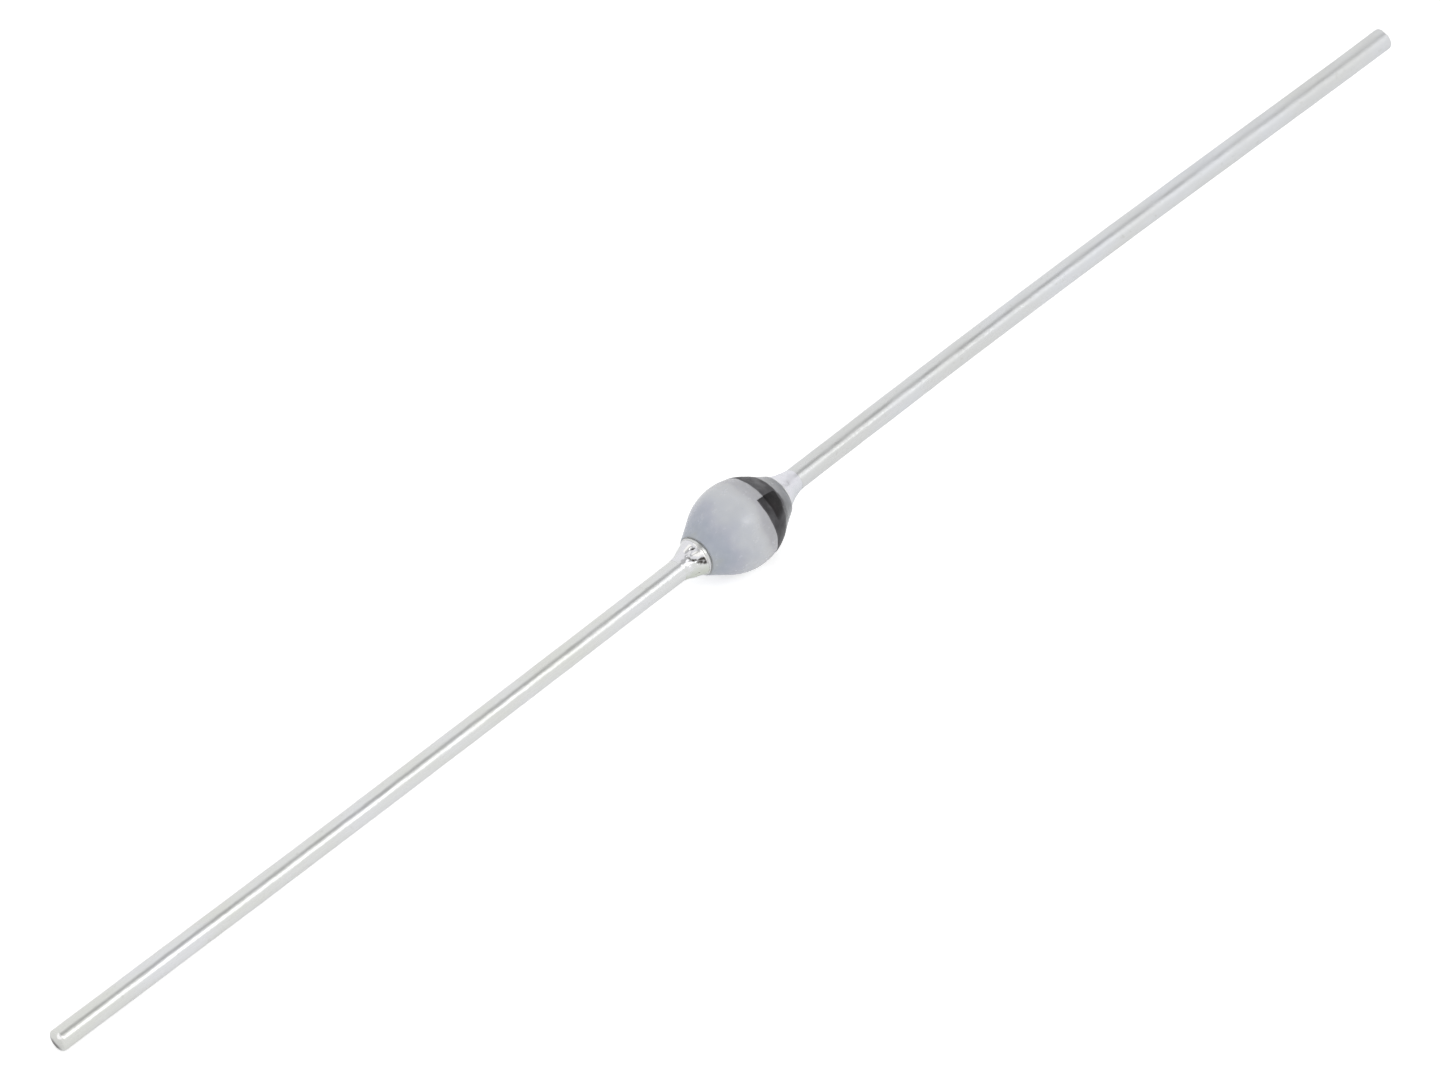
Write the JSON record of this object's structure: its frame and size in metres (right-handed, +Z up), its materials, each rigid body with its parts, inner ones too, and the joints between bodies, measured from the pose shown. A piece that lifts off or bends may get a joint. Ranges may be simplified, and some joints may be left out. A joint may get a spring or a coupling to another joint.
{
  "type": "axial rectifier diode",
  "caption": "Axial rectifier diode: crowned glass bead sealed round two metal slugs, cathode band at one end, and a straight tinned lead brazed to each end.",
  "frame": {"origin": "centre of the glass bead, on the axis of the leads", "axes": "+X along the leads towards the cathode, the banded end; +Z up; turned about X the form repeats"},
  "size_m": [0.0624, 0.0032, 0.0032],
  "materials": {
    "bead_glass": "opaque fired glass, glossy",
    "band_ink": "black marking ink, satin",
    "silicon": "bevelled silicon",
    "bond_aluminium": "brazed foil",
    "molybdenum": "turned metal",
    "braze": "bright, lumpy braze",
    "tinned_copper": "bright tinned wire"
  },
  "bodies": {
    "root": {"glass_body": "bead_glass", "cathode_band": "band_ink", "silicon_die": "silicon", "anode_bond_disc": "bond_aluminium", "cathode_bond_disc": "bond_aluminium", "anode_slug": "molybdenum", "cathode_slug": "molybdenum", "anode_braze_fillet": "braze", "cathode_braze_fillet": "braze", "anode_lead": "tinned_copper", "cathode_lead": "tinned_copper"}
  },
  "joints": []
}
